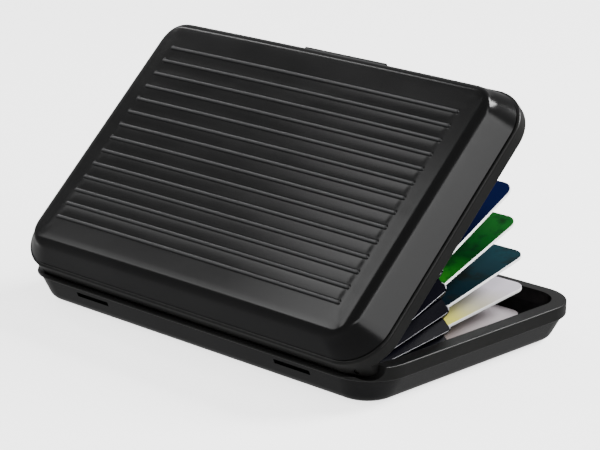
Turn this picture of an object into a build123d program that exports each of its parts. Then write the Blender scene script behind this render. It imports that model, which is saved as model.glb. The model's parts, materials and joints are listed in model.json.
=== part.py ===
"""Hard-shell card wallet: two ribbed covers on tray frames, an edge hinge, a press latch,
an accordion of six dividers and five cards. Millimetres, +Z up.
X runs along the hinge and +Y points to the latch. The wallet stands on its lower ribs, and the origin
is the middle of the crest of the rib on the hinge side of the case's middle plane.
The parts are modelled about that middle plane, and moved to the origin as they are written.
The lid is modelled open, at open_angle."""
import os
from math import cos, radians, sin

from build123d import *

os.makedirs("parts", exist_ok=True)

# case
case_length = 110.0
case_width = 70.5
case_height = 19.0
corner_radius = 10.0
parting_z = case_height / 2
hinge_face_y = -case_width / 2
latch_face_y = case_width / 2
open_angle = 43.3

# covers: straight walls from a rim to a flat top, with a rounded shoulder
cover_thickness = 0.8
cover_top_z = 0.45
cover_rim_z = 6.3
cover_rim_inset = 0.7
cover_side_inset = 3.3
lid_end_inset = 6.2
lid_corner_radius = 8.0
base_end_inset = 4.0
base_corner_radius = 6.5
shoulder_radius = 3.0
wall_side_thickness = 0.86
wall_end_thickness = 1.06

# ribs
rib_count = 14
rib_pitch = 3.79
rib_length = 88.0
rib_width = 1.4
rib_height = 0.45
rib_taper = 35.0
origin_shift = rib_pitch / 2

# tray frames
band_lower_round = 0.5
band_parting_round = 0.25
tray_gap = 0.08
tray_floor_z = 2.15
band_side_wall = 3.1
band_end_wall = 3.4
floor_side_inset = 4.9
floor_end_inset = 7.9

# hinge
hinge_y = hinge_face_y + 2.6
barrel_radius = 2.6
barrel_half_length = 52.0
seat_radius = 2.75
lip_top_z = 7.3
lip_slope_z = 6.8
lip_slope_inset = 0.7
ear_radius = 1.6
ear_start_x = 46.8
ear_end_x = 49.2
ear_clearance = 0.25
neck_angle = -25.0
neck_width = 1.2
neck_reach = 3.7
boss_start_y = hinge_y + 2.8
boss_end_y = hinge_y + 4.2
boss_top_z = 8.4
pocket_start_angle = 264.0
pocket_end_angle = 358.0
pin_radius = 0.75
pin_bore_radius = 0.80
pin_start_x = 42.0
pin_end_x = 49.9
slot_centre_x = 31.2
slot_length = 10.4
slot_height = 1.1
slot_z = 4.7

# latch
latch_half_length = 12.25
latch_leg_thickness = 1.0
latch_leg_y = latch_face_y - 1.3
latch_bottom_z = 8.0
latch_top_z = 12.55
latch_ledge_z = 11.75
latch_ledge_reach = 0.85
latch_nib = 0.45
latch_round = 0.3
latch_pivot_y = latch_face_y - 0.8
latch_pivot_z = 12.0
trunnion_radius = 0.45
trunnion_bore_radius = 0.50
trunnion_length = 0.8
catch_reach = 0.42

# pocket sheets and cards: each card lies under its own divider
sheet_half_length = 45.2
sheet_thickness = 0.2
sheet_start = -2.0
sheet_end = 28.5
sheet_above_card = 0.6
panel_thickness = 0.25
panel_start_y = hinge_face_y + 7.5
panel_end_y = hinge_face_y + 35.0
gusset_start_x = 45.4
gusset_thickness = 0.6
card_length = 85.6
card_width = 54.0
card_thickness = 0.76
card_corner = 3.18
card_edge_y = hinge_face_y + 9.5
card_names = ["grey_card", "yellow_card", "teal_card", "green_card", "blue_card"]
card_angles = [1.0, 6.1, 12.7, 20.3, 27.1]
card_edge_z = [3.25, 4.50, 5.80, 7.50, 9.15]
card_drawn = [0.9, 2.2, 2.6, 1.6, 2.5]
top_sheet_y = hinge_face_y + 8.0
top_sheet_z = 10.35
top_sheet_angle = 35.4
top_sheet_length = 27.0


def outline(side_inset, end_inset, radius, z):
    """Rounded rectangle of the case in plan, drawn in by its insets, at height z."""
    sketch = RectangleRounded(case_length - 2 * end_inset, case_width - 2 * side_inset, radius)
    return Plane.XY.offset(z) * sketch


def block(x0, x1, y0, y1, z0, z1):
    """Box from its corners."""
    return Pos((x0 + x1) / 2, (y0 + y1) / 2, (z0 + z1) / 2) * Box(x1 - x0, y1 - y0, z1 - z0)


def rod(y, z, radius, x0, x1):
    """Round bar along X."""
    return Pos((x0 + x1) / 2, y, z) * Rot(0, 90, 0) * Cylinder(radius, x1 - x0)


def opened(solid):
    """A lid piece, modelled closed, turned to its open place about the hinge."""
    return solid.rotate(Axis((0, hinge_y, parting_z), (1, 0, 0)), open_angle)


def upper(solid):
    """The lid's copy of a base piece, mirrored in the parting plane."""
    return solid.mirror(Plane.XY.offset(parting_z))


def cover(end_inset, top_corner_radius):
    """Dished sheet with ribs raised on its flat face, as it lies in the base. Its ends slope in to
    end_inset, and its flat face has corners of top_corner_radius."""
    rim = outline(cover_rim_inset, cover_rim_inset, corner_radius - cover_rim_inset, cover_rim_z)
    top = outline(cover_side_inset, end_inset, top_corner_radius, cover_top_z)
    outer = loft([top.face(), rim.face()], ruled=True)
    outer = fillet(outer.edges().group_by(Axis.Z)[0], shoulder_radius)
    drop = cover_thickness / (cover_rim_z - cover_top_z)
    side = cover_side_inset - drop * (cover_side_inset - cover_rim_inset) + wall_side_thickness
    end = end_inset - drop * (end_inset - cover_rim_inset) + wall_end_thickness
    inner_rim = outline(
        cover_rim_inset + wall_side_thickness,
        cover_rim_inset + wall_end_thickness,
        corner_radius - cover_rim_inset - 1.0,
        cover_rim_z,
    )
    inner_top = outline(side, end, top_corner_radius - 1.0, cover_top_z + cover_thickness)
    inner = loft([inner_top.face(), inner_rim.face()], ruled=True)
    inner = fillet(inner.edges().group_by(Axis.Z)[0], shoulder_radius - cover_thickness)
    shell = outer - inner
    for number in range(rib_count):
        y = (number - (rib_count - 1) / 2) * rib_pitch
        bead = Plane.XY.offset(cover_top_z) * Pos(0, y) * SlotOverall(rib_length, rib_width)
        shell += extrude(bead, amount=-rib_height, taper=rib_taper)
    return shell


def tray():
    """Frame common to both halves: a rim band on a thin tray that fits inside the cover."""
    band = extrude(outline(0, 0, corner_radius, cover_rim_z), amount=parting_z - cover_rim_z)
    band = fillet(band.edges().group_by(Axis.Z)[0], band_lower_round)
    band = fillet(band.edges().group_by(Axis.Z)[-1], band_parting_round)
    tray_top = outline(
        cover_rim_inset + wall_side_thickness + tray_gap,
        cover_rim_inset + wall_end_thickness + tray_gap,
        corner_radius - 1.9,
        cover_rim_z,
    )
    tray_base = outline(
        floor_side_inset - 0.95, floor_end_inset - 1.2, lid_corner_radius - 1.2,
        cover_top_z + cover_thickness + tray_gap,
    )
    body = loft([tray_base.face(), tray_top.face()], ruled=True)
    body = fillet(body.edges().group_by(Axis.Z)[0], shoulder_radius - cover_thickness)
    mouth = outline(band_side_wall, band_end_wall, corner_radius - band_side_wall, cover_rim_z)
    floor = outline(floor_side_inset, floor_end_inset, corner_radius - floor_side_inset, tray_floor_z)
    hollow = loft([floor.face(), mouth.face()], ruled=True)
    hollow += extrude(mouth, amount=parting_z - cover_rim_z)
    return band + body - hollow


def lower_cover():
    """Base cover, with the two slots that the hinge side shows."""
    shell = cover(base_end_inset, base_corner_radius)
    for x in (-slot_centre_x, slot_centre_x):
        shell -= block(
            x - slot_length / 2, x + slot_length / 2,
            hinge_face_y, hinge_face_y + 3.0,
            slot_z - slot_height / 2, slot_z + slot_height / 2,
        )
    return shell


def at_hinge(angle, radius):
    """Point in the YZ plane at an angle and distance from the hinge axis."""
    return (hinge_y + radius * cos(radians(angle)), parting_z + radius * sin(radians(angle)))


def ear(side):
    """Base lug that holds a hinge pin: a round eye on a neck that rises from a boss in the tray."""
    x0, x1 = sorted((side * ear_start_x, side * ear_end_x))
    lug = rod(hinge_y, parting_z, ear_radius, x0, x1)
    lug += block(x0, x1, boss_start_y, boss_end_y, tray_floor_z - 0.3, boss_top_z)
    neck = Pos((x0 + x1) / 2, hinge_y, parting_z) * Rot(neck_angle, 0, 0)
    lug += neck * Pos(0, neck_reach / 2, 0) * Box(x1 - x0, neck_reach, neck_width)
    return lug - rod(hinge_y, parting_z, pin_radius, x0, x1)


def lower_frame():
    """Base frame: hinge seat, two ears that hold the pins, latch notch and catch."""
    frame = tray()
    frame -= rod(hinge_y, parting_z, seat_radius, -case_length / 2, case_length / 2)
    frame -= block(
        -case_length / 2, case_length / 2, hinge_face_y - 1, hinge_y, lip_top_z, parting_z + 1
    )
    slope = Plane.YZ * Polygon(
        (hinge_face_y, lip_slope_z), (hinge_face_y + lip_slope_inset, lip_top_z), (hinge_face_y, lip_top_z),
        align=None,
    )
    frame -= extrude(slope, amount=case_length / 2, both=True)
    frame = frame + ear(-1) + ear(1)
    frame -= block(
        -latch_half_length - 0.35, latch_half_length + 0.35,
        latch_face_y - 1.85, latch_face_y + 1, 7.7, parting_z,
    )
    frame += block(
        -latch_half_length + 1.2, latch_half_length - 1.2,
        latch_face_y - 1.9, latch_face_y - 1.85 + catch_reach, 8.85, 9.35,
    )
    return frame


def ear_pocket(side):
    """Hollow in the lid's barrel round an ear, with room for its neck to turn."""
    x0, x1 = sorted((side * (ear_start_x - 0.3), side * (ear_end_x + 0.3)))
    hollow = rod(hinge_y, parting_z, ear_radius + ear_clearance, x0, x1)
    middle_angle = (pocket_start_angle + pocket_end_angle) / 2
    sector = Plane.YZ.offset(x0) * Polygon(
        (hinge_y, parting_z),
        at_hinge(pocket_start_angle, 4.5),
        at_hinge(middle_angle, 4.5),
        at_hinge(pocket_end_angle, 4.5),
        align=None,
    )
    return hollow + extrude(sector, amount=x1 - x0, dir=(1, 0, 0))


def upper_frame():
    """Lid frame: hinge barrel bored for the pins, pockets for the ears and for the latch."""
    frame = upper(tray())
    plan = extrude(outline(0, 0, corner_radius, cover_rim_z), amount=2 * (parting_z - cover_rim_z))
    barrel = rod(hinge_y, parting_z, barrel_radius, -barrel_half_length, barrel_half_length)
    frame += barrel & plan
    for side in (-1, 1):
        frame -= ear_pocket(side)
        x0, x1 = sorted((side * (pin_start_x - 0.2), side * (pin_end_x + 0.2)))
        frame -= rod(hinge_y, parting_z, pin_bore_radius, x0, x1)
    frame -= block(
        -latch_half_length - 0.15, latch_half_length + 0.15,
        latch_face_y - 1.5, latch_face_y + 1, parting_z - 1, 2 * parting_z - cover_rim_z,
    )
    for side in (-1, 1):
        x0, x1 = sorted((side * latch_half_length, side * (latch_half_length + trunnion_length + 0.2)))
        frame -= rod(latch_pivot_y, latch_pivot_z, trunnion_bore_radius, x0, x1)
    return opened(frame)


def hinge_pin(side):
    """Steel pin pressed in a base ear and running in the lid's barrel."""
    x0, x1 = sorted((side * pin_start_x, side * pin_end_x))
    return rod(hinge_y, parting_z, pin_radius, x0, x1)


def latch_tab():
    """Latch: a ledge for the thumb, a leg with a nib, and a trunnion at each end."""
    length = latch_half_length
    tab = block(
        -length, length, latch_leg_y, latch_leg_y + latch_leg_thickness, latch_bottom_z, latch_top_z
    )
    tab += block(
        -length, length, latch_leg_y, latch_face_y + latch_ledge_reach, latch_ledge_z, latch_top_z
    )
    tab = fillet(tab.edges().filter_by(Axis.X).group_by(Axis.Y)[-1], latch_round)
    nib = Plane.YZ * Polygon(
        (latch_leg_y + 0.1, latch_bottom_z),
        (latch_leg_y + 0.1, latch_bottom_z + 0.7),
        (latch_leg_y - latch_nib, latch_bottom_z + 0.6),
        (latch_leg_y - latch_nib, latch_bottom_z + 0.35),
        align=None,
    )
    tab += extrude(nib, amount=length - 1.2, both=True)
    tab += rod(latch_pivot_y, latch_pivot_z, trunnion_radius, -length - trunnion_length, length + trunnion_length)
    return opened(tab)


def sheet(start, end, height, y, z, angle):
    """Thin pocket sheet with rounded front corners, in the plane of a card at y, z, angle."""
    half = sheet_half_length
    plan = Pos(0, (start + end) / 2) * Rectangle(2 * half, end - start)
    plan = fillet(plan.vertices().group_by(Axis.Y)[-1], 3.0)
    flat = extrude(Plane.XY.offset(height - sheet_thickness / 2) * plan, amount=sheet_thickness)
    return Pos(0, y, z) * Rot(angle, 0, 0) * flat


def card(z, angle, drawn):
    """Standard plastic card, drawn a little out of its pocket, whose bottom is at card_edge_y."""
    plan = Pos(0, drawn + card_width / 2) * RectangleRounded(card_length, card_width, card_corner)
    flat = extrude(Plane.XY.offset(-card_thickness / 2) * plan, amount=card_thickness)
    return Pos(0, card_edge_y, z) * Rot(angle, 0, 0) * flat


def panel():
    """Outer sheet of the accordion, glued flat to the tray floor."""
    return block(
        -sheet_half_length, sheet_half_length, panel_start_y, panel_end_y,
        tray_floor_z, tray_floor_z + panel_thickness,
    )


def gusset(side):
    """Fan-shaped web that closes one end of the pockets, drawn without its pleats."""
    low = tray_floor_z + panel_thickness
    high = 2 * parting_z - low
    near = [(panel_start_y + 0.5, low + 0.3)]
    far = [(panel_end_y - 0.5, low + 0.3)]
    sheets = [
        (card_edge_y, z, angle, sheet_start, sheet_end) for z, angle in zip(card_edge_z, card_angles)
    ]
    sheets.append((top_sheet_y, top_sheet_z, top_sheet_angle, 0.0, top_sheet_length))
    for y, z, angle, start, end in sheets:
        turn = radians(angle)
        for points, along in ((near, start), (far, end)):
            points.append((y + along * cos(turn), z + along * sin(turn) + sheet_above_card))
    turn = radians(open_angle)
    for points, y in ((near, panel_start_y + 0.5), (far, panel_end_y - 0.5)):
        dy, dz = y - hinge_y, high - 0.3 - parting_z
        points.append(
            (hinge_y + dy * cos(turn) - dz * sin(turn), parting_z + dy * sin(turn) + dz * cos(turn))
        )
    x = side * gusset_start_x
    web = Plane.YZ.offset(x) * Polygon(*near, *reversed(far), align=None)
    return extrude(web, amount=gusset_thickness, dir=(side, 0, 0))


def build():
    """Every node of the wallet by name."""
    nodes = {
        "lower_cover": lower_cover(),
        "lower_frame": lower_frame(),
        "lower_pocket_panel": panel(),
        "left_hinge_pin": hinge_pin(-1),
        "right_hinge_pin": hinge_pin(1),
        "left_gusset": gusset(-1),
        "right_gusset": gusset(1),
        "upper_cover": opened(upper(cover(lid_end_inset, lid_corner_radius))),
        "upper_frame": upper_frame(),
        "upper_pocket_panel": opened(upper(panel())),
        "latch_tab": latch_tab(),
    }
    cards = zip(card_names, card_edge_z, card_angles, card_drawn)
    for number, (name, z, angle, drawn) in enumerate(cards, start=1):
        nodes[name] = card(z, angle, drawn)
        nodes[f"divider_{number}"] = sheet(
            sheet_start, sheet_end, sheet_above_card, card_edge_y, z, angle
        )
    nodes["divider_6"] = sheet(0.0, top_sheet_length, 0.0, top_sheet_y, top_sheet_z, top_sheet_angle)
    return nodes


for node_name, node_solid in build().items():
    placed = Pos(0, origin_shift, 0) * node_solid
    export_step(placed, f"parts/{node_name}.step")
    box = placed.bounding_box()
    print(
        f"{node_name:20s} solids {len(placed.solids())} volume {placed.volume:9.1f}",
        f"x {box.min.X:7.2f} {box.max.X:7.2f} y {box.min.Y:7.2f} {box.max.Y:7.2f}",
        f"z {box.min.Z:7.2f} {box.max.Z:7.2f}",
    )
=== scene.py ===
import json
import math

import bpy
from mathutils import Euler, Matrix, Vector

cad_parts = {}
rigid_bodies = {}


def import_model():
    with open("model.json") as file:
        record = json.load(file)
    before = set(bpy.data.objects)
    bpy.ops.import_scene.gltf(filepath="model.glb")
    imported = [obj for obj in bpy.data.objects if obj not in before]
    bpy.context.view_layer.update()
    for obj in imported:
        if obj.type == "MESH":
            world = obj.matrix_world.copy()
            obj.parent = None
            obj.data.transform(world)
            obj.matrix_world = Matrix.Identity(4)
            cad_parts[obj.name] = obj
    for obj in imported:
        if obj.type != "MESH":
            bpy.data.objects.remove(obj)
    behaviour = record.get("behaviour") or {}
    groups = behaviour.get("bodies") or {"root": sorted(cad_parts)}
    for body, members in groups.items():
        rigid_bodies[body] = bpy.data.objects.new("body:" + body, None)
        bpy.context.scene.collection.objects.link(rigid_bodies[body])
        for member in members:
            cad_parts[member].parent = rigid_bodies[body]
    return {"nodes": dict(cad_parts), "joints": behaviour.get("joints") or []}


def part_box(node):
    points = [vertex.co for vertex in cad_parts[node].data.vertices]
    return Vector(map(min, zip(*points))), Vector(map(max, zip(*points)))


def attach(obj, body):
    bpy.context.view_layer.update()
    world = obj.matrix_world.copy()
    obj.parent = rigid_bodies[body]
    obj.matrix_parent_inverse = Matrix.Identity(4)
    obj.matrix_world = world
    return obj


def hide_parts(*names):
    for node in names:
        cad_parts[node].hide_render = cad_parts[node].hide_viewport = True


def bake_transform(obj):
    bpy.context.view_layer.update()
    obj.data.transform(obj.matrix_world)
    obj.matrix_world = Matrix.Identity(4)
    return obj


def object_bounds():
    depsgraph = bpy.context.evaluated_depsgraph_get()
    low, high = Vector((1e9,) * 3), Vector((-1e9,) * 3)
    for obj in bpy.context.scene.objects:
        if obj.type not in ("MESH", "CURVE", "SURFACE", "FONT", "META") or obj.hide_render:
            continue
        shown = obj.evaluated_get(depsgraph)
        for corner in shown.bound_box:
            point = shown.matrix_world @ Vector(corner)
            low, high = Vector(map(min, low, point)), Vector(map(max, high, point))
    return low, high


# Ribbed hard-shell card wallet, open on its edge hinge: covers, pocket films, pleats and cards
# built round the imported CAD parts. Metres, X along the hinge, +Y to the latch, +Z up.

for spare in list(bpy.data.objects):
    bpy.data.objects.remove(spare)
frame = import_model()
cad_box = [list(corner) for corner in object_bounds()]

MM = 0.001

# places read from the frame
hinge = next(joint for joint in frame["joints"] if joint["name"] == "lid_hinge")
hinge_point = Vector(hinge["pos_m"])
open_angle = -math.radians(hinge["range_deg"][0])
case_low, case_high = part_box("lower_frame")
half_length = case_high.x
half_width = (case_high.y - case_low.y) / 2
middle_y = (case_high.y + case_low.y) / 2
parting_z = hinge_point.z
lower_cover_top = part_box("lower_cover")[1].z

# covers
rim_gap = 0.16 * MM
rim_z = lower_cover_top - rim_gap
cover_thickness = 0.8 * MM
plateau_z = 0.45 * MM
rim_inset = 0.7 * MM
rim_round = 0.12 * MM
side_corner_inset = 3.3 * MM
end_corner_inset = 6.2 * MM
side_shoulder_radius = 2.5 * MM
end_shoulder_radius = 3.9 * MM
rim_corner_radius = 9.3 * MM
plateau_corner_radius = 1.3 * MM
inner_corner_inset = 1.15 * cover_thickness
inner_drop = 0.35 * cover_thickness
# points of the outer profile that the inside repeats, counted back from the rim
inner_levels = (-3, -5, -8, -12)
corner_steps = 6
# places of the rings between the ribbed field and the plateau's edge
border_shares = (0.3, 0.65)
lid_crown = 0.5 * MM
# fall of the plateau beyond the ribs' ends, per metre
border_roll = 13.0
rib_count = 14
rib_pitch = 3.79 * MM
rib_half_length = 43.9 * MM
rib_half_width = 0.47 * MM
rib_height = 0.38 * MM
rib_edge_power = 2.4
row_steps = 10
row_power = 1.6
wide_steps = 12
fine_run = 3 * MM
fine_pitch = 0.22 * MM
fine_steps = 18
flute_depth = 0.07 * MM
flute_end_run = 1.6 * MM
# painted highlight: the ribs' crests are coloured paler for the light they catch. It rises with a rib's
# height: gain times its share of the full height, less start
highlight_gain = 2.2
highlight_start = 1.1

# pocket sheets and cards
sheet_thickness = 0.2 * MM
sheet_half_length = 45.2 * MM
sheet_corner = 3.0 * MM
sheet_near_corner = 0.2 * MM
panel_thickness = 0.25 * MM
weld_inset = 1.5 * MM
weld_groove = 0.05 * MM
cut_edge = 0.21 * MM
card_thickness = 0.76 * MM
card_corner = 3.18 * MM
card_skin = 0.06 * MM
least_corner = 0.05 * MM
divider_count = 6

# pleats
pleat_depth = 1.9 * MM
pleat_film = 0.12 * MM
pleat_swell = 0.12 * MM
pleat_clearance = 0.02 * MM
pleat_start = 0.07
pleat_run = 0.87
pleat_near_reach = 0.35
pleat_reach_gain = 2.2
pleat_crease = math.radians(24)

# stage, lights and camera
floor_half_size = 3.0
floor_drop = 0.02 * MM
floor_glow = 2.4
world_glow = 0.41
white = (1, 1, 1, 1)
camera_azimuth = math.radians(43.43)
camera_elevation = math.radians(16.49)
camera_roll = math.radians(0.74)
camera_place = Vector((341.39, -357.615, 168.67)) * MM
camera_lens = 137.67

# name, direction from the wallet, distance, size and radiance of each area light
softboxes = [
    ("left_softbox", (-0.68, -0.41, 0.61), 0.8, (0.28, 0.14), 3.5),
    ("top_strip", (-0.70, 0.05, 0.71), 0.8, (0.32, 0.06), 14.0),
    ("edge_strip", (-0.527, -0.425, 0.736), 0.8, (0.18, 0.28), 5.2),
    ("right_softbox", (0.76, -0.22, 0.62), 0.8, (0.30, 0.50), 4.6),
    ("right_strip", (0.655, -0.23, 0.72), 0.8, (0.08, 0.50), 4.0),
    ("back_key", (0.45, 0.68, 0.58), 0.9, (0.35, 0.35), 40.0),
]


# ---------------------------------------------------------------- mesh helpers

def new_piece(name, points, faces, materials, face_materials=None, smooth_angle=math.radians(32)):
    """Mesh object from points and faces, shaded smooth but for edges sharper than smooth_angle."""
    mesh = bpy.data.meshes.new(name)
    mesh.from_pydata([tuple(point) for point in points], [], faces)
    for material in materials:
        mesh.materials.append(material)
    if face_materials:
        mesh.polygons.foreach_set("material_index", face_materials)
    mesh.validate()
    mesh.update()
    mesh.shade_smooth()
    mesh.set_sharp_from_angle(angle=smooth_angle)
    piece = bpy.data.objects.new(name, mesh)
    bpy.context.scene.collection.objects.link(piece)
    return piece


def ring_faces(rings, size):
    """Quads between each two neighbouring closed rings of `size` points."""
    faces = []
    for ring in range(rings - 1):
        for step in range(size):
            following = (step + 1) % size
            low, high = ring * size, (ring + 1) * size
            faces.append((low + step, low + following, high + following, high + step))
    return faces


def smoothstep(value):
    """Smooth rise from 0 to 1 as value goes from 0 to 1, and flat beyond."""
    value = min(max(value, 0.0), 1.0)
    return value * value * (3 - 2 * value)


# ---------------------------------------------------------------- covers

def spread(values):
    """Sorted values mirrored about zero, with one zero in the middle."""
    return [-value for value in reversed(values)] + [0.0] + list(values)


def rib_columns():
    """Places along a rib: wide steps, and fine ones round its ends."""
    wide = [step * rib_half_length / wide_steps for step in range(1, wide_steps)]
    fine_start = rib_half_length - fine_run
    wide = [place for place in wide if place < fine_start - 1 * MM]
    fine = [fine_start + step * fine_pitch for step in range(fine_steps)]
    return spread(wide + fine)


def rib_rows():
    """Places across the ribs, close together on each rib and wider apart between them."""
    offsets = [rib_pitch / 2 * (step / row_steps) ** row_power for step in range(row_steps + 1)]
    places = []
    for number in range(rib_count // 2):
        centre = (number + 0.5) * rib_pitch
        places += [centre - offset for offset in reversed(offsets[:-1])]
        places += [centre + offset for offset in offsets[1:]]
    return spread(places)


def nearest_rib(y):
    """Y of the middle of the rib nearest to y."""
    index = round(y / rib_pitch - 0.5)
    return (min(max(index, -rib_count // 2), rib_count // 2 - 1) + 0.5) * rib_pitch


def bead_share(x, y):
    """Height of a rounded rib as a share of its full height."""
    beyond = max(abs(x) - (rib_half_length - rib_half_width), 0.0)
    distance = math.hypot(beyond, y - nearest_rib(y)) / rib_half_width
    return math.sqrt(max(1 - distance ** rib_edge_power, 0.0))


def rib_lift(x, y):
    """Height of the ribbed field above the plateau: a rounded bead, and a shallow flute beside it."""
    bead = rib_height * bead_share(x, y)
    hollow = 1 - (1 - abs(y - nearest_rib(y)) / (rib_pitch / 2)) ** 2
    ends = smoothstep((rib_half_length - abs(x)) / flute_end_run)
    inside = 1.0 if abs(y) < (rib_count - 1) / 2 * rib_pitch else 0.0
    return bead - flute_depth * hollow * ends * inside


def highlight_on_crest(x, y):
    """Mask of the painted highlight: 1 along a rib's crest and 0 at its foot and beside it."""
    return smoothstep(bead_share(x, y) * highlight_gain - highlight_start)


def shoulder_profile(corner_inset, radius, arc_steps=9, wall_steps=4):
    """(inset, height) from the plateau's edge, round the shoulder and down the wall to the rim."""
    run = corner_inset - rim_inset
    drop = rim_z - plateau_z
    slope = math.atan2(drop, run)
    tangent = radius * math.tan(slope / 2)
    profile = []
    for step in range(arc_steps + 1):
        turn = slope * step / arc_steps
        inset = corner_inset + tangent - radius * math.sin(turn)
        profile.append((inset, plateau_z + radius * (1 - math.cos(turn))))
    start_inset, start_height = profile[-1]
    for step in range(1, wall_steps + 1):
        share = step / wall_steps
        profile.append((
            start_inset + (rim_inset - start_inset) * share,
            start_height + (rim_z - rim_round - start_height) * share,
        ))
    return profile


side_profile = shoulder_profile(side_corner_inset, side_shoulder_radius)
end_profile = shoulder_profile(end_corner_inset, end_shoulder_radius)
plateau_half_length = half_length - end_profile[0][0]


def perimeter(columns, rows):
    """Stations round the grid's edge: the grid point, and its place on a rounded rectangle as shares
    along each side and the angle of the outward direction."""
    last_x, last_y = len(columns) - 1, len(rows) - 1

    def share(place, values):
        """Place as a share of the last place before the corner."""
        return place / values[len(values) - 1 - corner_steps]

    def station(i, j, on_long_side, sign):
        """(i, j, share along X, share along Y, outward angle) of a grid point on the edge."""
        x, y = columns[i], rows[j]
        from_start, from_end = (i, last_x - i) if on_long_side else (j, last_y - j)
        near = min(from_start, from_end)
        if near >= corner_steps:
            if on_long_side:
                return (i, j, share(x, columns), sign, math.radians(90 * sign))
            return (i, j, sign, share(y, rows), math.radians(0 if sign > 0 else 180))
        half_turn = math.radians(45) * (corner_steps - near) / corner_steps
        side_x, side_y = math.copysign(1, x), math.copysign(1, y)
        lean = math.pi / 2 - half_turn if on_long_side else half_turn
        angle = math.atan2(side_y * math.sin(lean), side_x * math.cos(lean))
        return (i, j, side_x, side_y, angle)

    stations = [station(i, 0, True, -1) for i in range(last_x)]
    stations += [station(last_x, j, False, 1) for j in range(last_y)]
    stations += [station(i, last_y, True, 1) for i in range(last_x, 0, -1)]
    stations += [station(0, j, False, -1) for j in range(last_y, 0, -1)]
    return stations


def rounded(station, half_x, half_y, radius):
    """Point of a rounded rectangle for a station."""
    _, _, along_x, along_y, angle = station
    return (
        along_x * (half_x - radius) + radius * math.cos(angle),
        along_y * (half_y - radius) + radius * math.sin(angle),
    )


def crowned(x, height):
    """Height of a point of the closed lower shape, with the plateau's crown along the hinge's length
    and the roll of its end borders, both fading out towards the rim."""
    bulge = max(1 - (x / plateau_half_length) ** 2, 0.0)
    roll = border_roll * max(min(abs(x), plateau_half_length) - rib_half_length, 0.0) ** 2
    fade = smoothstep((rim_z - height) / (rim_z - plateau_z))
    return height - (lid_crown * bulge - roll) * fade


def cover_ring(stations, side_pair, end_pair, radius, inward=0.0, lift=0.0):
    """Ring of points round the cover. Each pair is (inset, height), at the sides and at the ends."""
    ring = []
    half_x = half_length - end_pair[0] - inward
    half_y = half_width - side_pair[0] - inward
    for station in stations:
        weight = math.cos(station[4]) ** 2
        x, y = rounded(station, half_x, half_y, radius)
        height = side_pair[1] + (end_pair[1] - side_pair[1]) * weight + lift
        ring.append((x, y, crowned(x, height)))
    return ring


def cover_rings(stations, grid_edge):
    """Rings from the ribbed field's edge over the shoulder to the rim, and inside back to the floor."""
    wall = cover_thickness
    edge = cover_ring(stations, side_profile[0], end_profile[0], plateau_corner_radius)
    rings = []
    for share in border_shares:
        rings.append([
            tuple(a + (b - a) * share for a, b in zip(inner, outer))
            for inner, outer in zip(grid_edge, edge)
        ])
    for step, (side_pair, end_pair) in enumerate(zip(side_profile, end_profile)):
        share = step / (len(side_profile) - 1)
        radius = plateau_corner_radius + (rim_corner_radius - plateau_corner_radius) * share
        rings.append(cover_ring(stations, side_pair, end_pair, radius))
    rim_pair = (rim_inset, rim_z)
    for inward in (rim_round, wall):
        rings.append(cover_ring(stations, rim_pair, rim_pair, rim_corner_radius - inward, inward))
    for step in inner_levels:
        share = 1 + step / len(side_profile)
        radius = plateau_corner_radius + (rim_corner_radius - wall - plateau_corner_radius) * share
        rings.append(cover_ring(
            stations, side_profile[step], end_profile[step], radius, inner_corner_inset, inner_drop
        ))
    floor = cover_ring(stations, side_profile[0], end_profile[0], plateau_corner_radius, wall)
    rings.append([(x, y, plateau_z + wall) for x, y, _ in floor])
    return rings


def cover_shape():
    """Points, faces and painted crest highlight of the lid's cover in the place of the lower one, about
    the case's middle."""
    columns, rows = rib_columns(), rib_rows()
    stations = perimeter(columns, rows)
    points = [(x, y, crowned(x, plateau_z - rib_lift(x, y))) for x in columns for y in rows]
    # painted highlight mask at each grid point
    crest_highlight = [highlight_on_crest(x, y) for x in columns for y in rows]
    faces = []
    count = len(rows)
    for i in range(len(columns) - 1):
        for j in range(count - 1):
            low, high = i * count + j, (i + 1) * count + j
            faces.append((low, low + 1, high + 1, high))
    previous = [i * count + j for i, j, *_ in stations]
    size = len(previous)
    for ring in cover_rings(stations, [points[index] for index in previous]):
        start = len(points)
        points.extend(ring)
        for step in range(size):
            following = (step + 1) % size
            faces.append((previous[following], previous[step], start + step, start + following))
        previous = list(range(start, start + size))
    faces.append(tuple(previous))
    crest_highlight += [0.0] * (len(points) - len(crest_highlight))
    return points, faces, crest_highlight


def place_upper(points):
    """Mirrors a closed lower shape in the parting plane and turns it open about the hinge."""
    turn = Matrix.Rotation(open_angle, 3, "X")
    placed = []
    for x, y, z in points:
        closed = Vector((x, y + middle_y, 2 * parting_z - z))
        placed.append(hinge_point + turn @ (closed - hinge_point))
    return placed


def make_upper_cover(material):
    """Ribbed cover of the lid, with the painted highlight of its ribs' crests as an attribute for the
    material.
    """
    points, faces, crest_highlight = cover_shape()
    flipped = [tuple(reversed(face)) for face in faces]
    piece = new_piece("ribbed_lid_cover", place_upper(points), flipped, [material])
    piece.data.attributes.new("crest_highlight", "FLOAT", "POINT").data.foreach_set("value", crest_highlight)
    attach(piece, "lid")
    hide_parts("upper_cover")


# ---------------------------------------------------------------- sheets and cards

def slope_of(node, thickness):
    """Angle of a thin flat node about X, from its box and thickness."""
    low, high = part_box(node)
    size = high - low
    angle = 0.0
    for _ in range(6):
        rise = size.z - thickness * math.cos(angle)
        run = size.y - thickness * math.sin(angle)
        angle = math.atan2(rise, run)
    return angle, math.hypot(rise, run)


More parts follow.
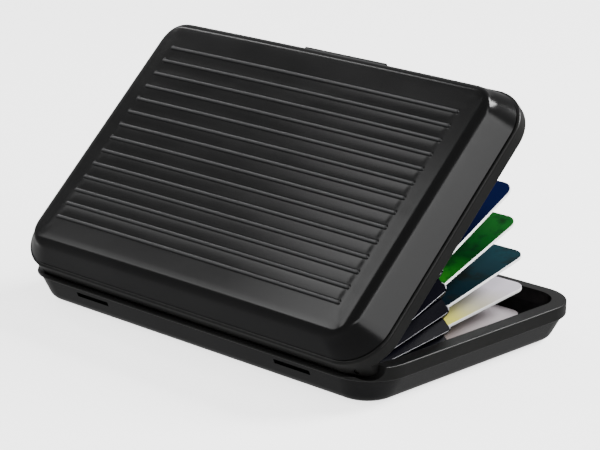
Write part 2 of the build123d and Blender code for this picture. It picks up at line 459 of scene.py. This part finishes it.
def plate_outline(half_x, half_y, near_radius, far_radius, inset, arc_steps=8):
    """Rounded rectangle drawn in by inset, with its own corner radius at the near and far sides."""
    outline = []
    corners = ((1, -1, near_radius), (1, 1, far_radius), (-1, 1, far_radius), (-1, -1, near_radius))
    for quarter, (side_x, side_y, radius) in enumerate(corners):
        radius = max(radius - inset, least_corner)
        for step in range(arc_steps + 1):
            angle = math.radians(90 * (quarter - 1) + 90 * step / arc_steps)
            outline.append((
                side_x * (half_x - inset - radius) + radius * math.cos(angle),
                side_y * (half_y - inset - radius) + radius * math.sin(angle),
            ))
    return outline


def plate(name, node, thickness, radii, levels, materials):
    """Thin plate in the place of a CAD node. levels gives (inset, height, material) from the middle of
    one face, round the edge and to the middle of the other."""
    angle, length = slope_of(node, thickness)
    low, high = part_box(node)
    centre = (low + high) / 2
    half_x = (high.x - low.x) / 2
    turn = Matrix.Rotation(angle, 3, "X")
    points, face_materials = [], []
    for inset, height, _ in levels:
        for x, y in plate_outline(half_x, length / 2, *radii, inset):
            points.append(centre + turn @ Vector((x, y, height)))
    size = len(points) // len(levels)
    faces = ring_faces(len(levels), size)
    for _, _, material in levels[1:]:
        face_materials += [material] * size
    faces = [tuple(reversed(face)) for face in faces]
    faces.append(tuple(range(size)))
    faces.append(tuple(reversed(range(size * (len(levels) - 1), size * len(levels)))))
    face_materials += [levels[0][2], levels[-1][2]]
    piece = new_piece(name, points, faces, materials, face_materials)
    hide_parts(node)
    return piece


def make_divider(number, film, edge):
    """Pocket sheet with a welded line inside its edge, and a cut edge coloured pale as a painted
    highlight.
    """
    half = sheet_thickness / 2
    upper = [
        (weld_inset + 0.8 * MM, half, 0), (weld_inset + 0.45 * MM, half, 0),
        (weld_inset + 0.2 * MM, half - weld_groove, 0), (weld_inset - 0.2 * MM, half - weld_groove, 0),
        (weld_inset - 0.45 * MM, half, 0), (0.22 * MM, half, 0), (0.05 * MM, half - 0.03 * MM, 1),
        (0.0, half - 0.07 * MM, 1),
    ]
    # faces within cut_edge of the rim take the pale painted highlight material
    lower = [(inset, -height, int(inset < cut_edge)) for inset, height, _ in reversed(upper)]
    node = f"divider_{number}"
    piece = plate(f"pocket_sheet_{number}", node, sheet_thickness, (sheet_near_corner, sheet_corner),
                  upper + lower, [film, edge])
    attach(piece, node)


def make_card(name, face, core):
    """Laminated card: printed faces and a white core that shows at its cut edge."""
    half = card_thickness / 2
    below_print = half - card_skin
    core_top = half - 2 * card_skin
    levels = [
        (0.5 * MM, half, 0), (0.10 * MM, half, 0), (0.02 * MM, below_print, 0), (0.0, core_top, 1),
        (0.0, -core_top, 1), (0.02 * MM, -below_print, 1), (0.10 * MM, -half, 0), (0.5 * MM, -half, 0),
    ]
    piece = plate(f"laminated_{name}", name, card_thickness, (card_corner, card_corner), levels,
                  [face, core])
    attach(piece, name)


# ---------------------------------------------------------------- pleats

def sheet_ends(node, thickness):
    """Near and far ends of a thin flat node's middle line, as (y, z)."""
    angle, length = slope_of(node, thickness)
    low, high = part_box(node)
    centre = (low + high) / 2
    along = Vector((0, math.cos(angle), math.sin(angle))) * length / 2
    return centre - along, centre + along


def pleat_ring(side, low, high, share):
    """Section of a pleat between points of the two sheets' ends, at a share of their depth. The film
    runs in from the low sheet to the fold and out again to the high one."""
    edge_x = side * (sheet_half_length - pleat_clearance)
    fold_x = side * (sheet_half_length - pleat_depth)
    reach = pleat_near_reach + (1 - pleat_near_reach) * smoothstep(share * pleat_reach_gain)
    middle = (low + high) / 2
    half_film = (high - low).normalized() * pleat_film * 0.5
    inner = Vector((side * pleat_film, 0, 0))
    swell = Vector((side * pleat_swell, 0, 0))
    low_out = Vector((edge_x, low.y, low.z))
    high_out = Vector((edge_x, high.y, high.z))
    valley = Vector((edge_x + (fold_x - edge_x) * reach, middle.y, middle.z))
    quarter_low = low_out.lerp(valley, 0.5) + swell
    quarter_high = high_out.lerp(valley, 0.5) + swell
    return [
        low_out + half_film, quarter_low + half_film, valley + inner, quarter_high - half_film,
        high_out - half_film, high_out - half_film - inner, quarter_high - half_film - inner,
        valley, quarter_low + half_film - inner, low_out + half_film - inner,
    ]


def pleat(name, side, low_ends, high_ends, film, steps=8):
    """Film folded inwards between the ends of two sheets, from near the hinge to their front edges."""
    rings = []
    for step in range(steps + 1):
        share = pleat_start + pleat_run * step / steps
        low = low_ends[0].lerp(low_ends[1], share)
        high = high_ends[0].lerp(high_ends[1], share)
        rings.append(pleat_ring(side, low, high, share))
    size = len(rings[0])
    points = [point for ring in rings for point in ring]
    faces = ring_faces(len(rings), size)
    if side > 0:
        faces = [tuple(reversed(face)) for face in faces]
    first, last = tuple(range(size)), tuple(range(size * steps, size * (steps + 1)))
    faces += [first, tuple(reversed(last))] if side > 0 else [tuple(reversed(first)), last]
    return new_piece(name, points, faces, [film], smooth_angle=pleat_crease)


def make_pleats(film):
    """Pleats at both ends of every pocket. Each spans the joint between its two sheets and stays fixed
    in
    its rest shape, but for the first: no joint is between the base and divider_1, so it rides
    divider_1."""
    rows = [("base", *sheet_ends("lower_pocket_panel", panel_thickness))]
    for number in range(1, divider_count + 1):
        node = f"divider_{number}"
        rows.append((node, *sheet_ends(node, sheet_thickness)))
    rows.append(("lid", *sheet_ends("upper_pocket_panel", panel_thickness)))
    for side, side_name in ((-1, "left"), (1, "right")):
        for number, (low, high) in enumerate(zip(rows, rows[1:]), start=1):
            name = f"{side_name}_pleat_{number}"
            piece = pleat(name, side, low[1:], high[1:], film)
            if number == 1:
                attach(piece, "divider_1")
                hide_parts(f"{side_name}_gusset")
                continue
            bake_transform(piece)


# ---------------------------------------------------------------- materials

def node_material(name):
    """New material with its shader, its node tree and the object's own coordinates."""
    material = bpy.data.materials.new(name)
    material.use_nodes = True
    tree = material.node_tree
    shader = tree.nodes["Principled BSDF"]
    coordinates = tree.nodes.new("ShaderNodeTexCoord")
    return material, tree, shader, coordinates.outputs["Object"]


def noise(tree, vector, scale, detail=2.0, roughness=0.5, stretch=None):
    """Noise of the object's coordinates; scale is in waves per metre."""
    if stretch:
        mapping = tree.nodes.new("ShaderNodeMapping")
        mapping.inputs["Scale"].default_value = stretch
        tree.links.new(vector, mapping.inputs["Vector"])
        vector = mapping.outputs["Vector"]
    node = tree.nodes.new("ShaderNodeTexNoise")
    node.inputs["Scale"].default_value = scale
    node.inputs["Detail"].default_value = detail
    node.inputs["Roughness"].default_value = roughness
    tree.links.new(vector, node.inputs["Vector"])
    return node.outputs["Fac"]


def ramp(tree, value, stops):
    """Colour ramp with (place, colour) stops."""
    node = tree.nodes.new("ShaderNodeValToRGB")
    elements = node.color_ramp.elements
    while len(elements) < len(stops):
        elements.new(0.5)
    for element, (place, colour) in zip(elements, stops):
        element.position = place
        element.color = (*colour, 1.0)
    tree.links.new(value, node.inputs["Fac"])
    return node.outputs["Color"]


def rescale(tree, value, low, high, out_low, out_high):
    """Value moved from one range to another, and kept inside it."""
    node = tree.nodes.new("ShaderNodeMapRange")
    limits = {"From Min": low, "From Max": high, "To Min": out_low, "To Max": out_high}
    for socket, number in limits.items():
        node.inputs[socket].default_value = number
    tree.links.new(value, node.inputs["Value"])
    return node.outputs["Result"]


def mix(tree, factor, first, second):
    """Colour mixed between two sockets or plain colours."""
    node = tree.nodes.new("ShaderNodeMix")
    node.data_type = "RGBA"
    sockets = [socket for socket in node.inputs if socket.type == "RGBA"]
    for socket, colour in zip(sockets, (first, second)):
        if isinstance(colour, tuple):
            socket.default_value = (*colour, 1.0)
        else:
            tree.links.new(colour, socket)
    tree.links.new(factor, node.inputs[0])
    return next(socket for socket in node.outputs if socket.type == "RGBA")


def bump(tree, shader, height, distance, strength):
    """Bump of a height socket on the shader."""
    node = tree.nodes.new("ShaderNodeBump")
    node.inputs["Strength"].default_value = strength
    node.inputs["Distance"].default_value = distance
    tree.links.new(height, node.inputs["Height"])
    tree.links.new(node.outputs["Normal"], shader.inputs["Normal"])


def shell_material():
    """Black satin coat on pressed aluminium: a fine even grain, faint smears, and a painted highlight
    that colours the ribs paler along their crests."""
    material, tree, shader, place = node_material("satin_black_shell")
    cloud = noise(tree, place, 45.0, detail=4.0)
    grain = noise(tree, place, 5200.0, detail=1.0)
    smear = noise(tree, place, 260.0, detail=3.0, stretch=(0.25, 1.0, 1.0))
    colour = ramp(tree, cloud, [(0.3, (0.0018, 0.0018, 0.0019)), (0.7, (0.0032, 0.0032, 0.0033))])
    # ribs' crests coloured paler: a painted highlight
    crest_highlight = tree.nodes.new("ShaderNodeAttribute")
    crest_highlight.attribute_name = "crest_highlight"
    colour = mix(tree, crest_highlight.outputs["Fac"], colour, (0.036, 0.036, 0.037))
    tree.links.new(colour, shader.inputs["Base Color"])
    tree.links.new(rescale(tree, smear, 0.3, 0.7, 0.17, 0.21), shader.inputs["Roughness"])
    shader.inputs["Specular IOR Level"].default_value = 0.2
    bump(tree, shader, grain, 0.004 * MM, 0.5)
    return material


def frame_material():
    """Black moulded plastic with a fine spark-eroded texture."""
    material, tree, shader, place = node_material("moulded_black_plastic")
    cloud = noise(tree, place, 60.0, detail=3.0)
    grain = noise(tree, place, 3600.0, detail=2.0)
    colour = ramp(tree, cloud, [(0.3, (0.0034, 0.0034, 0.0034)), (0.7, (0.0055, 0.0055, 0.0052))])
    tree.links.new(colour, shader.inputs["Base Color"])
    tree.links.new(rescale(tree, grain, 0.35, 0.65, 0.30, 0.38), shader.inputs["Roughness"])
    shader.inputs["Specular IOR Level"].default_value = 0.2
    bump(tree, shader, grain, 0.006 * MM, 0.5)
    return material


def film_material():
    """Blue-black pocket film with a fine embossed grain."""
    material, tree, shader, place = node_material("pocket_film")
    cells = tree.nodes.new("ShaderNodeTexVoronoi")
    cells.inputs["Scale"].default_value = 2400.0
    tree.links.new(place, cells.inputs["Vector"])
    cloud = noise(tree, place, 90.0, detail=3.0)
    colour = ramp(tree, cloud, [(0.3, (0.0010, 0.0010, 0.0026)), (0.7, (0.0020, 0.0020, 0.0046))])
    tree.links.new(colour, shader.inputs["Base Color"])
    tree.links.new(rescale(tree, cloud, 0.3, 0.7, 0.28, 0.36), shader.inputs["Roughness"])
    shader.inputs["Specular IOR Level"].default_value = 0.01
    bump(tree, shader, cells.outputs["Distance"], 0.01 * MM, 0.5)
    return material


def edge_highlight_material():
    """Cut edge of the film, shinier than its faces, coloured pale grey as a painted highlight."""
    material, tree, shader, place = node_material("pale_edge_painted_highlight")
    streak = noise(tree, place, 700.0, detail=2.0, stretch=(1.0, 0.2, 0.2))
    # pale grey base colour on the black film's edge: a painted highlight
    colour = ramp(tree, streak, [(0.3, (0.30, 0.30, 0.33)), (0.7, (0.52, 0.52, 0.55))])
    tree.links.new(colour, shader.inputs["Base Color"])
    tree.links.new(rescale(tree, streak, 0.3, 0.7, 0.25, 0.4), shader.inputs["Roughness"])
    return material


def steel_material():
    """Plain steel wire with draw marks along its length."""
    material, tree, shader, place = node_material("pin_steel")
    marks = noise(tree, place, 3000.0, detail=2.0, stretch=(0.05, 1.0, 1.0))
    colour = ramp(tree, marks, [(0.3, (0.42, 0.42, 0.43)), (0.7, (0.58, 0.58, 0.59))])
    tree.links.new(colour, shader.inputs["Base Color"])
    tree.links.new(rescale(tree, marks, 0.3, 0.7, 0.22, 0.38), shader.inputs["Roughness"])
    shader.inputs["Metallic"].default_value = 1.0
    return material


def core_material():
    """White plastic core of a card, with the faint lines of its cut."""
    material, tree, shader, place = node_material("card_core")
    lines = noise(tree, place, 2200.0, detail=2.0, stretch=(0.2, 0.2, 1.0))
    colour = ramp(tree, lines, [(0.3, (0.80, 0.80, 0.80)), (0.7, (0.90, 0.90, 0.90))])
    tree.links.new(colour, shader.inputs["Base Color"])
    tree.links.new(rescale(tree, lines, 0.3, 0.7, 0.35, 0.5), shader.inputs["Roughness"])
    return material


def along_y(tree, place, low, high):
    """0 to 1 across a stretch of Y."""
    parts = tree.nodes.new("ShaderNodeSeparateXYZ")
    tree.links.new(place, parts.inputs["Vector"])
    return rescale(tree, parts.outputs["Y"], low, high, 0.0, 1.0)


def printed_material(name, stops, depth, blotch=None, blotch_scale=150.0):
    """Glossy laminated print: a colour that changes across the stretch of Y in depth, with cloudy
    blotches."""
    material, tree, shader, place = node_material(name)
    low, high = depth
    wander = noise(tree, place, 70.0, detail=3.0)
    sweep = along_y(tree, place, low, high)
    total = tree.nodes.new("ShaderNodeMath")
    total.operation = "MULTIPLY_ADD"
    total.inputs[1].default_value = 0.35
    tree.links.new(wander, total.inputs[0])
    tree.links.new(sweep, total.inputs[2])
    colour = ramp(tree, total.outputs["Value"], stops)
    if blotch:
        spots = noise(tree, place, blotch_scale, detail=4.0, roughness=0.6)
        amount = rescale(tree, spots, 0.52, 0.72, 0.0, 0.85)
        colour = mix(tree, amount, colour, blotch)
    tree.links.new(colour, shader.inputs["Base Color"])
    fine = noise(tree, place, 900.0, detail=2.0)
    tree.links.new(rescale(tree, fine, 0.3, 0.7, 0.20, 0.24), shader.inputs["Roughness"])
    shader.inputs["Specular IOR Level"].default_value = 0.03
    bump(tree, shader, fine, 0.001 * MM, 0.2)
    return material


def card_materials():
    """Each card's print, by name."""
    return {
        "grey_card": printed_material(
            "grey_print", [(0.2, (0.22, 0.18, 0.17)), (0.9, (0.48, 0.44, 0.46))], depth=(0.004, 0.034)
        ),
        "yellow_card": printed_material(
            "yellow_print",
            [(0.12, (0.70, 0.66, 0.06)), (0.5, (0.50, 0.47, 0.36)), (0.9, (0.66, 0.61, 0.68))],
            depth=(0.008, 0.032),
        ),
        "teal_card": printed_material(
            "teal_print",
            [(0.2, (0.003, 0.008, 0.014)), (0.6, (0.005, 0.018, 0.026)), (0.95, (0.007, 0.034, 0.046))],
            blotch=(0.009, 0.010, 0.008), depth=(0.004, 0.034),
        ),
        "green_card": printed_material(
            "green_print",
            [(0.15, (0.02, 0.22, 0.012)), (0.5, (0.003, 0.035, 0.007)), (0.9, (0.009, 0.11, 0.014))],
            blotch=(0.004, 0.022, 0.008), blotch_scale=220.0, depth=(0.002, 0.032),
        ),
        "blue_card": printed_material(
            "blue_print",
            [(0.2, (0.002, 0.003, 0.010)), (0.9, (0.002, 0.006, 0.050))], depth=(0.0, 0.028),
        ),
    }


def dress_nodes(finishes):
    """Gives carried-over CAD nodes their finish."""
    for node, material in finishes.items():
        for slot in frame["nodes"][node].material_slots:
            slot.material = material


# ---------------------------------------------------------------- stage, lights and camera

def make_floor():
    """Pale flat floor, a little under the wallet, that gives off some light of its own."""
    half = floor_half_size
    points = [(-half, -half, 0), (half, -half, 0), (half, half, 0), (-half, half, 0)]
    material, tree, shader, place = node_material("pale_floor")
    cloud = noise(tree, place, 3.0)
    colour = ramp(tree, cloud, [(0.3, (0.86, 0.86, 0.86)), (0.7, (0.88, 0.88, 0.88))])
    tree.links.new(colour, shader.inputs["Base Color"])
    shader.inputs["Roughness"].default_value = 0.9
    shader.inputs["Emission Color"].default_value = white
    shader.inputs["Emission Strength"].default_value = floor_glow
    floor = new_piece("floor", points, [(0, 1, 2, 3)], [material])
    floor.location.z = -floor_drop
    floor.visible_glossy = False


def make_softbox(name, direction, distance, size, radiance, target):
    """Rectangular area light of an even radiance, looking at target from a direction. Its first size
    runs as near to X as it can."""
    light = bpy.data.lights.new(name, "AREA")
    light.shape = "RECTANGLE"
    light.size, light.size_y = size
    light.energy = radiance * math.pi * size[0] * size[1]
    lamp = bpy.data.objects.new(name, light)
    away = Vector(direction).normalized()
    across = (Vector((1, 0, 0)) - away * away.x).normalized()
    lamp.location = target + away * distance
    lamp.rotation_euler = Matrix((across, away.cross(across), away)).transposed().to_euler()
    bpy.context.scene.collection.objects.link(lamp)


def make_world():
    """Dim even surroundings."""
    world = bpy.data.worlds.new("studio")
    world.use_nodes = True
    background = world.node_tree.nodes["Background"]
    background.inputs["Color"].default_value = white
    background.inputs["Strength"].default_value = world_glow
    bpy.context.scene.world = world


def make_camera():
    """Camera on a long lens, above the floor and off the right end of the hinge side."""
    camera = bpy.data.cameras.new("camera")
    camera.lens = camera_lens
    camera.sensor_width = 36.0
    camera.clip_start = 0.01
    holder = bpy.data.objects.new("camera", camera)
    holder.location = camera_place
    level = Euler((math.pi / 2 - camera_elevation, 0, camera_azimuth)).to_matrix()
    holder.rotation_euler = (level @ Matrix.Rotation(camera_roll, 3, "Z")).to_euler()
    bpy.context.scene.collection.objects.link(holder)
    bpy.context.scene.camera = holder


# ---------------------------------------------------------------- the wallet

make_camera()
shell = shell_material()
plastic = frame_material()
film = film_material()
painted_edge_highlight = edge_highlight_material()
core = core_material()
make_upper_cover(shell)
for number in range(1, divider_count + 1):
    make_divider(number, film, painted_edge_highlight)
for name, print_material in card_materials().items():
    make_card(name, print_material, core)
make_pleats(film)
steel = steel_material()
dress_nodes({
    "lower_cover": shell,
    "lower_frame": plastic,
    "upper_frame": plastic,
    "latch_tab": plastic,
    "lower_pocket_panel": film,
    "upper_pocket_panel": film,
    "left_hinge_pin": steel,
    "right_hinge_pin": steel,
})
make_world()
make_floor()
middle = (Vector(cad_box[0]) + Vector(cad_box[1])) / 2
for softbox in softboxes:
    make_softbox(*softbox, middle)
